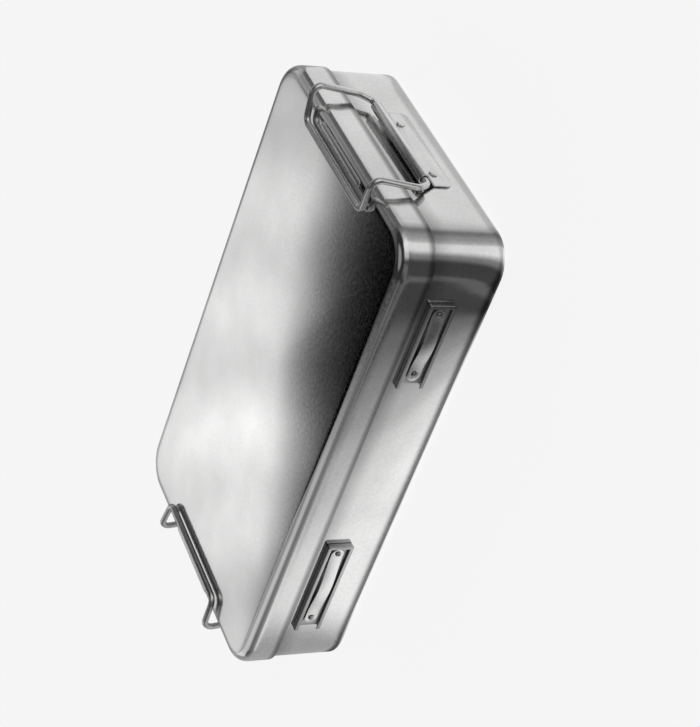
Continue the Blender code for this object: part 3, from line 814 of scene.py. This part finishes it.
def build_lid(steel):
    """The lid, with its crowned top."""
    size = LID_HIGH - LID_LOW
    skirt = pan_section(size.z - LID_CROWN, LID_FILLET, PAN_SHEET, LID_FILLET_POWER)
    top = LID_LOW.z + size.z - LID_CROWN
    length, width = size.x - 2 * LID_FILLET, size.y - 2 * LID_FILLET
    radius = LID_CORNER_RADIUS - LID_FILLET
    crown = []
    for share in CROWN_SHARES:
        whole = (1 - share ** 2) ** 2
        edge = 1 - share ** CROWN_EDGE_POWER
        crown.append((share, LID_CROWN * ((1 - CROWN_EDGE) * whole + CROWN_EDGE * edge)))
    rings = [ring_points(length * share, width * share, radius * share, top + rise)
             for share, rise in reversed(crown)]
    rings += [ring_points(size.x - 2 * inset, size.y - 2 * inset, LID_CORNER_RADIUS - inset, top - drop)
              for inset, drop in skirt[1:-1]]
    rings += [ring_points(length * share, width * share, radius * share, top + rise - PAN_SHEET)
              for share, rise in crown]
    finish_mesh("lid_pan", loft(rings), "lid", "satin_steel", steel, "lid_shell")


def build_catches(steel):
    """Both catch strips on the lid, each a half-round bead."""
    low, high = CATCH_LOW, CATCH_HIGH
    wide = high.x - low.x
    strip = []
    for a in arc(CATCH_STEPS, 0, CATCH_TURN):
        inset = wide / 2 * (1 - math.cos(a))
        strip.append(ring_points(wide - 2 * inset, high.y - low.y - 2 * inset,
                                 wide / 2 - inset - CATCH_END_TRIM, low.z + (high.z - low.z) * math.sin(a)))
    form = moved(loft(strip), Matrix.Translation(((low.x + high.x) / 2, 0, 0)))
    finish_pair("catch", form, ("lid", "lid"), "satin_steel", steel, "catch_strip")


def build_filter(steel, paper):
    """The paper filter, the perforated plate over it and the plate's two tabs."""
    low, high = PAPER_LOW, PAPER_HIGH
    rings = [ring_points(high.x - low.x, high.y - low.y, HOLDER_CORNER_RADIUS, z) for z in (low.z, high.z)]
    finish_mesh("paper_sheet", loft(rings), "case", "filter_paper", paper, "filter_paper")
    low, high = HOLDER_LOW, HOLDER_HIGH
    section = (
        (EDGE_ROUND, low.z), (0, low.z + EDGE_ROUND), (0, high.z - EDGE_ROUND), (EDGE_ROUND, high.z),
    )
    rings = [
        ring_points(high.x - low.x - 2 * inset, high.y - low.y - 2 * inset, HOLDER_CORNER_RADIUS - inset, z)
        for inset, z in section
    ]
    form = without(loft(rings), [perforation_form((low.z + high.z) / 2)])
    finish_mesh("holder_plate", form, "filter_holder", "satin_steel", steel, "filter_plate")
    middle_x = TAB_HIGH.x - HOLDER_SHEET / 2
    foot_z = TAB_LOW.z + HOLDER_SHEET / 2
    corners = [(middle_x - TAB_FOOT_LENGTH, 0, foot_z), (middle_x, 0, foot_z), (middle_x, 0, TAB_HIGH.z)]
    sheet = sheet_form(rounded_path(corners, [TAB_BEND_RADIUS]), TAB_HIGH.y - TAB_LOW.y)
    round_sheet_corners(sheet, TAB_HIGH.z, TAB_CORNER_RADIUS)
    tab = softened(thickened(sheet, HOLDER_SHEET), EDGE_ROUND)
    finish_pair("tab", tab, ("filter_holder", "filter_holder"), "satin_steel", steel, "filter_tab")


def build_bails(wire_steel):
    """Both wire bails."""
    side = [(HINGE_X + x, y, HINGE_Z + z) for x, y, z in BAIL_SIDE]
    other_side = [(x, -y, z) for x, y, z in reversed(side)]
    path = rounded_path(side + other_side, BAIL_BENDS + BAIL_BENDS[::-1])
    form = tube(path, WIRE_DIAMETER / 2 - WIRE_TRIM, WIRE_SIDES, WIRE_CHAMFER)
    finish_pair("wire", form, ("right_bail", "left_bail"), "wire_steel", wire_steel, "bail")


def plate_profile():
    """Middle line of a bail plate: up the wall, out along the flare and round the barrel."""
    reach = BARREL_BORE_RADIUS + PLATE_SHEET / 2
    axis = Vector((HINGE_X, 0, HINGE_Z))
    wall_x = PLATE_LOW.x + PLATE_SHEET / 2
    spoke = Vector((math.cos(FLARE_ANGLE), 0, -math.sin(FLARE_ANGLE))) * reach
    touch = axis + spoke
    flare_z = touch.z - (touch.x - wall_x) / math.tan(FLARE_ANGLE)
    corners = [(wall_x, 0, PLATE_LOW.z), (wall_x, 0, flare_z), touch]
    path = rounded_path(corners, [PLATE_FLARE_BEND])
    steps = math.ceil(WRAP_ANGLE / ARC_STEP)
    for step in range(1, steps + 1):
        path.append(axis + Matrix.Rotation(-WRAP_ANGLE * step / steps, 3, "Y") @ spoke)
    return path


def build_plates(steel):
    """Both bail plates and their rivets."""
    sheet = sheet_form(plate_profile(), PLATE_HIGH.y - PLATE_LOW.y)
    round_sheet_corners(sheet, PLATE_LOW.z, PLATE_CORNER_RADIUS)
    holes = [(PLATE_LOW.x, y, PLATE_RIVET_Z) for y in (-PLATE_RIVET_Y, PLATE_RIVET_Y)]
    drill = drill_form(holes, (1, 0, 0), PLATE_HOLE)
    plate = softened(without(thickened(sheet, PLATE_SHEET), [drill]), EDGE_ROUND)
    finish_pair("plate", plate, ("case", "case"), "satin_steel", steel, "bail_plate")
    stack = PLATE_SHEET + PAN_SHEET + 3 * SEAT_GAP
    seat_x = PLATE_LOW.x + PLATE_SHEET + SEAT_GAP
    for side, sign in (("right", 1), ("left", -1)):
        for place, y in (("front", -PLATE_RIVET_Y), ("back", PLATE_RIVET_Y)):
            form = rivet_form(PLATE_RIVET_HEAD, PLATE_RIVET_SHANK, stack)
            moved(form, Matrix.Translation((sign * seat_x, y, PLATE_RIVET_Z))
                  @ Matrix.Rotation(sign * QUARTER_TURN, 4, "Y"))
            name = "rivet_" + side + "_" + place
            finish_mesh(name, form, "case", "satin_steel", steel, "bail_" + name)


def label_rivet_places(low, high):
    """X of a label holder's rivets at its open and at its closed end."""
    return low.x + LABEL_OPEN_RIVET_INSET, high.x - LABEL_CLOSED_RIVET_INSET


def label_frame_form(low, high):
    """A label holder: a back plate with three walls folded over into lips, open on its left."""
    form = box_form(low, high)
    closed_end = [
        e for e in form.edges
        if all(abs(v.co.x - high.x) < EDGE_ROUND for v in e.verts)
        and abs(e.verts[0].co.y - e.verts[1].co.y) > EDGE_ROUND
    ]
    bmesh.ops.bevel(form, geom=closed_end, offset=LABEL_CORNER_RADIUS, segments=LABEL_CORNER_SEGMENTS,
                    profile=ROUND_PROFILE, affect="EDGES")
    front = [e for e in form.edges if all(abs(v.co.y - low.y) < EDGE_ROUND for v in e.verts)]
    bmesh.ops.bevel(form, geom=front, offset=LABEL_EDGE_ROUND, segments=LABEL_EDGE_SEGMENTS,
                    profile=ROUND_PROFILE, affect="EDGES")
    open_x = low.x - CUT_OVERRUN
    cavity = box_form((open_x, low.y + LABEL_SHEET, low.z + LABEL_SHEET),
                      (high.x - LABEL_SHEET, high.y - LABEL_SHEET, high.z - LABEL_SHEET))
    window = box_form((open_x, low.y - CUT_OVERRUN, low.z + LABEL_LIP),
                      (high.x - LABEL_LIP, low.y + LABEL_DEPTH / 2, high.z - LABEL_LIP))
    back_trim = box_form((open_x, high.y - LABEL_DEPTH / 2, low.z + LABEL_SHEET),
                         (low.x + LABEL_BACK_TRIM, high.y + CUT_OVERRUN, high.z - LABEL_SHEET))
    middle_z = (low.z + high.z) / 2
    holes = [(x, high.y, middle_z) for x in label_rivet_places(low, high)]
    drill = drill_form(holes, (0, 1, 0), LABEL_HOLE)
    return softened(in_order(without(form, [cavity, window, back_trim, drill])), EDGE_ROUND / 2)


def spring_form(low, high):
    """A label holder's bowed leaf spring with its rounded tips."""
    open_rivet, closed_rivet = label_rivet_places(low, high)
    first = open_rivet - SPRING_OPEN_OVERHANG
    last = closed_rivet + SPRING_CLOSED_OVERHANG
    start = open_rivet + SPRING_FLAT_REACH
    end = closed_rivet - SPRING_FLAT_REACH
    tip = [(SPRING_HALF * (1 - math.cos(a)), SPRING_HALF * math.sin(a)) for a in SPRING_TIP_ANGLES]
    outline = [(first + along, half, 0) for along, half in tip]
    for step in range(SPRING_STEPS + 1):
        share = step / SPRING_STEPS
        bow = SPRING_BOW * (1 - math.cos(FULL_TURN * share)) / 2
        outline.append((start + (end - start) * share, SPRING_HALF, bow))
    outline += [(last - along, half, 0) for along, half in reversed(tip)]
    middle_y = high.y - LABEL_SHEET - SEAT_GAP - SPRING_SHEET / 2
    middle_z = (low.z + high.z) / 2
    sheet = ribbon(*([(x, middle_y - bow, middle_z + side * half) for x, half, bow in outline]
                     for side in (-1, 1)))
    holes = [(x, middle_y, middle_z) for x in (open_rivet, closed_rivet)]
    drill = drill_form(holes, (0, 1, 0), LABEL_HOLE, CUT_OVERRUN)
    return softened(without(thickened(sheet, SPRING_SHEET), [drill]), EDGE_ROUND / 2)


def build_labels(steel, spring_steel):
    """Both label holders with their springs and rivets."""
    stack = SPRING_SHEET + LABEL_SHEET + PAN_SHEET + 4 * SEAT_GAP
    for side, (low, high) in LABEL_FRAMES.items():
        finish_mesh("holder_" + side, label_frame_form(low, high), "case", "satin_steel", steel,
                    "label_frame_" + side)
        finish_mesh("spring_" + side, spring_form(low, high), "case", "satin_steel", spring_steel,
                    "label_spring_" + side)
        seat_y = high.y - LABEL_SHEET - SPRING_SHEET - 2 * SEAT_GAP
        ends = zip(("open", "closed"), label_rivet_places(low, high), (0.0, LABEL_RIVET_RECESS))
        for end, x, recess in ends:
            form = rivet_form(LABEL_RIVET_HEAD, LABEL_RIVET_SHANK, stack, recess)
            moved(form, Matrix.Translation((x, seat_y, (low.z + high.z) / 2))
                  @ Matrix.Rotation(QUARTER_TURN, 4, "X"))
            node = "label_rivet_" + side + "_" + end
            finish_mesh(node + "_head", form, "case", "satin_steel", steel, node)


# Stage


def stage_plane(name, left, right, low, high, z, material):
    """A flat stage card between four sides at one height of its own axes."""
    form = bmesh.new()
    corners = ((left, low, z), (right, low, z), (right, high, z), (left, high, z))
    form.faces.new([form.verts.new(corner) for corner in corners])
    card = linked_object(name, form)
    card.data.materials.append(material)
    return card


def turn_ramp(tree, x, y, stops):
    """A level that depends on the compass angle of a direction, from stops of degrees and level."""
    turn = combine(tree, "ARCTAN2", y, x)
    share = ramp(tree, turn, -HALF_TURN, HALF_TURN, 0, 1)
    node = tree.nodes.new("ShaderNodeValToRGB")
    node.color_ramp.interpolation = "EASE"
    elements = node.color_ramp.elements
    while len(elements) < len(stops):
        elements.new(0.5)
    for element, (angle, level) in zip(elements, stops):
        element.position = (angle + 180) / 360
        element.color = (level, level, level, 1)
    tree.links.new(share, node.inputs["Fac"])
    return node.outputs["Color"]


def floor_shades(tree, x, y):
    """Levels of the mirrored floor around the case."""
    beyond = combine(tree, "MAXIMUM", combine(tree, "SUBTRACT", FLOOR_FAR_Y, y), 0)
    bent_x = combine(tree, "ADD", x, product(tree, beyond, FLOOR_FAR_SLOPE))
    bent_x = combine(tree, "MAXIMUM", combine(tree, "MINIMUM", bent_x, FLOOR_FAR_X), x)
    to_left = smooth_step(tree, product(tree, x, -1), -FLOOR_FAR_X, 0)
    bent_y = combine(tree, "ADD", y, product(tree, beyond, to_left))
    shades = [
        turn_ramp(tree, combine(tree, "SUBTRACT", bent_x, centre_x),
                  combine(tree, "SUBTRACT", bent_y, centre_y), stops)
        for (centre_x, centre_y), stops in FLOOR_SHADES
    ]
    beside = smooth_step(tree, combine(tree, "SUBTRACT", x, y), *LEFT_SHADE)
    return product(tree, *shades, ramp(tree, beside, 0, 1, LEFT_SHADE_LEVEL, 1))


def contact_shade(tree, x, y):
    """Levels of the mirrored floor close to the base, by distance from its outline."""
    half = (BASE_HIGH - BASE_LOW) / 2
    squares = []
    for place, edge in ((x, half.x), (y, half.y)):
        over = combine(tree, "SUBTRACT", combine(tree, "ABSOLUTE", place), edge - BASE_CORNER_RADIUS)
        squares.append(combine(tree, "POWER", combine(tree, "MAXIMUM", over, 0), 2))
    away = combine(tree, "SQRT", combine(tree, "ADD", *squares))
    right_end = smooth_step(tree, x, half.x - RIGHT_END_INSIDE, half.x + RIGHT_END_OUTSIDE)
    reach = toned(tree, combine(tree, "SUBTRACT", away, BASE_CORNER_RADIUS), right_end, CONTACT_NARROWING)
    shade = smooth_step(tree, reach, *CONTACT_REACH)
    shade = combine(tree, "MAXIMUM", shade, ramp(tree, right_end, 0, 1, *CONTACT_LEVELS))
    outside = smooth_step(tree, away, *(BASE_CORNER_RADIUS + gap for gap in AT_OUTLINE))
    return combine(tree, "MAXIMUM", shade, opposite(tree, outside))


def floor_material():
    """A pale floor that takes a soft shadow, and that mirrors show with shades of its own."""
    material, tree = new_material("pale_floor")
    tree.nodes.clear()
    x, y, _ = place_axes(tree, "Object")
    path = tree.nodes.new("ShaderNodeLightPath")
    glossy = path.outputs["Is Glossy Ray"]
    mirrored = combine(tree, "ADD", glossy, path.outputs["Is Transmission Ray"])
    mirrored = product(tree, mirrored, product(tree, floor_shades(tree, x, y), contact_shade(tree, x, y)))
    seen = product(tree, path.outputs["Is Camera Ray"], FLOOR_GLOW)
    glow = add_node(tree, "ShaderNodeEmission", Color=(1, 1, 1, 1))
    tree.links.new(combine(tree, "ADD", seen, product(tree, mirrored, MIRRORED_FLOOR)),
                   glow.inputs["Strength"])
    matte = add_node(tree, "ShaderNodeBsdfDiffuse")
    tree.links.new(grey(tree, opposite(tree, glossy), FLOOR_MATTE), matte.inputs["Color"])
    both = tree.nodes.new("ShaderNodeAddShader")
    out = tree.nodes.new("ShaderNodeOutputMaterial")
    tree.links.new(glow.outputs["Emission"], both.inputs[0])
    tree.links.new(matte.outputs["BSDF"], both.inputs[1])
    tree.links.new(both.outputs["Shader"], out.inputs["Surface"])
    return material


def bent_line(tree, x, y, bends):
    """How far a place is above a line that starts level and turns at each bend."""
    for side, start, slope in bends:
        past = combine(tree, "SUBTRACT", product(tree, x, side), start)
        lift = product(tree, combine(tree, "MAXIMUM", past, 0), slope)
        y = combine(tree, "SUBTRACT", y, lift)
    return y


def screen_material():
    """A screen that is dark above a soft edge and to the right of a slanting end, and clear elsewhere."""
    material, tree = new_material("dark_screen")
    tree.nodes.clear()
    x, y, _ = place_axes(tree, "Object")
    edge = bent_line(tree, x, y, SCREEN_BENDS)
    open_part = combine(tree, "POWER", ramp(tree, edge, *SCREEN_EDGE, 1, 0), SCREEN_FADE)
    end = bent_line(tree, x, y, SCREEN_END_BENDS)
    open_part = combine(tree, "MAXIMUM", open_part, smooth_step(tree, end, *SCREEN_END))
    turn = product(tree, combine(tree, "SUBTRACT", x, SCREEN_FOLD_START), FULL_TURN / SCREEN_FOLD)
    fold = product(
        tree,
        ramp(tree, combine(tree, "COSINE", turn), -1, 1, 1 - SCREEN_FOLD_DEPTH, 1),
        ramp(tree, x, SCREEN_FOLD_START, SCREEN_RIGHT_END, 1, SCREEN_RIGHT_LEVEL),
        ramp(tree, x, *SCREEN_LEFT, SCREEN_LEFT_LEVEL, 1),
    )
    clear = tree.nodes.new("ShaderNodeBsdfTransparent")
    out = tree.nodes.new("ShaderNodeOutputMaterial")
    tree.links.new(grey(tree, product(tree, open_part, fold)), clear.inputs["Color"])
    tree.links.new(clear.outputs["BSDF"], out.inputs["Surface"])
    return material


def camera_axes():
    """The picture's right and up with the case upright, and the way back to the camera."""
    back = Vector((
        math.sin(CAMERA_AZIMUTH) * math.cos(CAMERA_ELEVATION),
        -math.cos(CAMERA_AZIMUTH) * math.cos(CAMERA_ELEVATION),
        math.sin(CAMERA_ELEVATION),
    ))
    level_right = Vector((0, 0, 1)).cross(back).normalized()
    level_up = back.cross(level_right)
    right = level_right * math.cos(CAMERA_ROLL) + level_up * math.sin(CAMERA_ROLL)
    up = level_up * math.cos(CAMERA_ROLL) - level_right * math.sin(CAMERA_ROLL)
    return right, up, back


def build_stage():
    """The floor, and the dark screen, set where the lid's top mirrors it to the camera."""
    stage_plane("floor", -FLOOR_HALF, FLOOR_HALF, -FLOOR_HALF, FLOOR_HALF, FLOOR_HEIGHT, floor_material())
    screen = stage_plane("screen", *SCREEN_SIDES, 0, screen_material())
    right, up, back = camera_axes()
    mirror = Vector((1, 1, -1))
    axes = [way * mirror for way in (right, -up, back)]
    place = Vector(CAMERA_PLACE)
    place.z = 2 * LID_HIGH.z - place.z
    place -= axes[2] * SCREEN_DISTANCE
    screen.matrix_world = Matrix.Translation(place) @ Matrix(axes).transposed().to_4x4()
    screen.visible_camera = False
    screen.visible_diffuse = False
    screen.visible_shadow = False


def wall_level(tree, x, y, z, in_front):
    """Levels of the studio's walls by direction."""
    left = product(tree, x, -1)
    raised = product(tree, smooth_step(tree, z, *RAISED_HEIGHT), in_front,
                     smooth_step(tree, left, *RAISED_LEFT))
    far_left = product(tree, smooth_step(tree, left, *FAR_LEFT), in_front)
    sunk = opposite(tree, combine(tree, "MAXIMUM", smooth_step(tree, z, *SUNK_HEIGHT), in_front))
    sunk = product(tree, sunk, smooth_step(tree, left, *SUNK_LEFT))
    walls = turn_ramp(tree, x, y, WALL_STOPS)
    for part, level in ((raised, RAISED_LEVEL), (far_left, FAR_LEFT_LEVEL), (sunk, SUNK_LEVEL)):
        walls = toned(tree, walls, part, level)
    return walls


def ceiling_level(tree, x, y, z):
    """Levels of the studio's dark ceiling with its soft boxes, by direction."""
    front = product(tree, y, -1)
    box = product(
        tree,
        smooth_step(tree, product(tree, x, -1), *BOX_LEFT),
        opposite(tree, smooth_step(tree, front, *BOX_FRONT)),
        smooth_step(tree, front, *BOX_BACK),
        BOX_LEVEL,
    )
    behind = combine(tree, "ADD", *(
        product(tree, smooth_step(tree, y, low, high), share) for low, high, share in BEHIND_STEPS))
    behind = product(tree, smooth_step(tree, x, *BEHIND_LEFT), behind,
                     ramp(tree, smooth_step(tree, x, *BEHIND_MIDDLE), 0, 1, *BEHIND_LEVELS))
    level = combine(tree, "ADD", combine(tree, "ADD", behind, CEILING_LEVEL), box)
    zenith = product(tree, smooth_step(tree, z, *ZENITH_HEIGHT), ZENITH_LEVEL)
    return combine(tree, "MAXIMUM", level, zenith)


def build_world():
    """A soft studio: walls of differing levels below a dark ceiling that holds two soft boxes."""
    world = bpy.data.worlds.new("studio")
    bpy.context.scene.world = world
    world.use_nodes = True
    world.cycles.sampling_method = "NONE"
    tree = world.node_tree
    tree.nodes.clear()
    x, y, z = place_axes(tree, "Generated")
    in_front = smooth_step(tree, product(tree, y, -1), *IN_FRONT)
    height = combine(tree, "SUBTRACT", z, product(tree, in_front, CEILING_FRONT_LIFT))
    level = blend(tree, wall_level(tree, x, y, z, in_front), ceiling_level(tree, x, y, z),
                  smooth_step(tree, height, *CEILING_HEIGHT))
    path = tree.nodes.new("ShaderNodeLightPath")
    back = add_node(tree, "ShaderNodeBackground", Color=(1, 1, 1, 1))
    tree.links.new(blend(tree, level, BACKDROP_LEVEL, path.outputs["Is Camera Ray"]),
                   back.inputs["Strength"])
    out = tree.nodes.new("ShaderNodeOutputWorld")
    tree.links.new(back.outputs["Background"], out.inputs["Surface"])


def build_camera():
    """The camera, turned a quarter round as the picture is."""
    right, up, back = camera_axes()
    data = bpy.data.cameras.new("camera")
    data.lens = CAMERA_LENS
    data.sensor_width = CAMERA_SENSOR
    data.shift_x, data.shift_y = CAMERA_SHIFT
    data.clip_end = CAMERA_REACH
    camera = bpy.data.objects.new("camera", data)
    bpy.context.scene.collection.objects.link(camera)
    camera.matrix_world = Matrix.Translation(CAMERA_PLACE) @ Matrix((-up, right, back)).transposed().to_4x4()
    bpy.context.scene.camera = camera


def main():
    """Dress the whole case and set its stage."""
    bpy.context.scene.view_settings.view_transform = "Standard"
    steels = {name: steel_material(name + "_steel_skin", *look) for name, look in STEELS.items()}
    build_base(steels["base"])
    build_lid(steels["lid"])
    build_catches(steels["plate"])
    build_filter(steels["satin"], paper_material("filter_paper_skin"))
    build_bails(steels["wire"])
    build_plates(steels["plate"])
    build_labels(steels["holder"], steels["plate"])
    build_stage()
    build_world()
    build_camera()


main()
